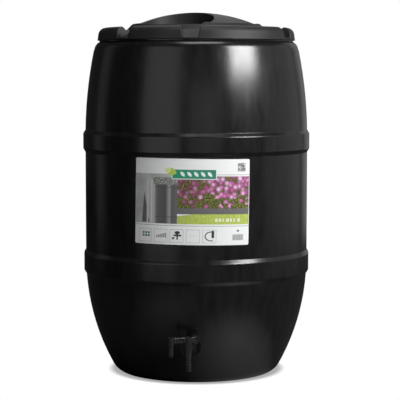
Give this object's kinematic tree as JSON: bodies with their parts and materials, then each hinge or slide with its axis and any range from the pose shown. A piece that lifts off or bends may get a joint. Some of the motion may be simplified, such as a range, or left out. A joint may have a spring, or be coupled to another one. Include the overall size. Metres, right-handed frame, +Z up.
{
  "type": "rain barrel",
  "caption": "Barrel-shaped plastic rain water tank with moulded hoops, a lift-off lid with a grip bar, a printed label and a lever tap near the base.",
  "frame": {"origin": "centre of the flat base, on the ground", "axes": "+Z up along the tank's axis, the tap faces -Y, +X to the right of someone facing the tap"},
  "size_m": [0.5125, 0.534, 0.81],
  "materials": {
    "tank_plastic": "satin black polyethylene, blow moulded",
    "lid_plastic": "fine-grained black polyethylene, injection moulded",
    "label_film": "printed satin film",
    "tap_plastic": "semi-gloss black polypropylene",
    "valve_plastic": "smooth black acetal",
    "seal_rubber": "matt black rubber",
    "screw_steel": "plated steel"
  },
  "bodies": {
    "tank": {"barrel_shell": "tank_plastic", "label": "label_film", "tap_body": "tap_plastic", "tap_outer_washer": "seal_rubber", "tap_inner_washer": "seal_rubber", "tap_back_nut": "tap_plastic", "gland_nut": "tap_plastic"},
    "lid": {"lid": "lid_plastic"},
    "tap_handle": {"tap_lever": "tap_plastic", "valve_plug": "valve_plastic", "plug_o_rings": "seal_rubber", "lever_screw": "screw_steel"}
  },
  "joints": [
    {"name": "lid_lift", "type": "slide", "parent": "tank", "child": "lid", "axis": [0, 0, 1], "range_m": [0, 0.12]},
    {"name": "tap_turn", "type": "hinge", "parent": "tank", "child": "tap_handle", "pos_m": [-0.01716, -0.25843, 0.1], "axis": [0, 0, 1], "range_deg": [-23, 67]}
  ]
}
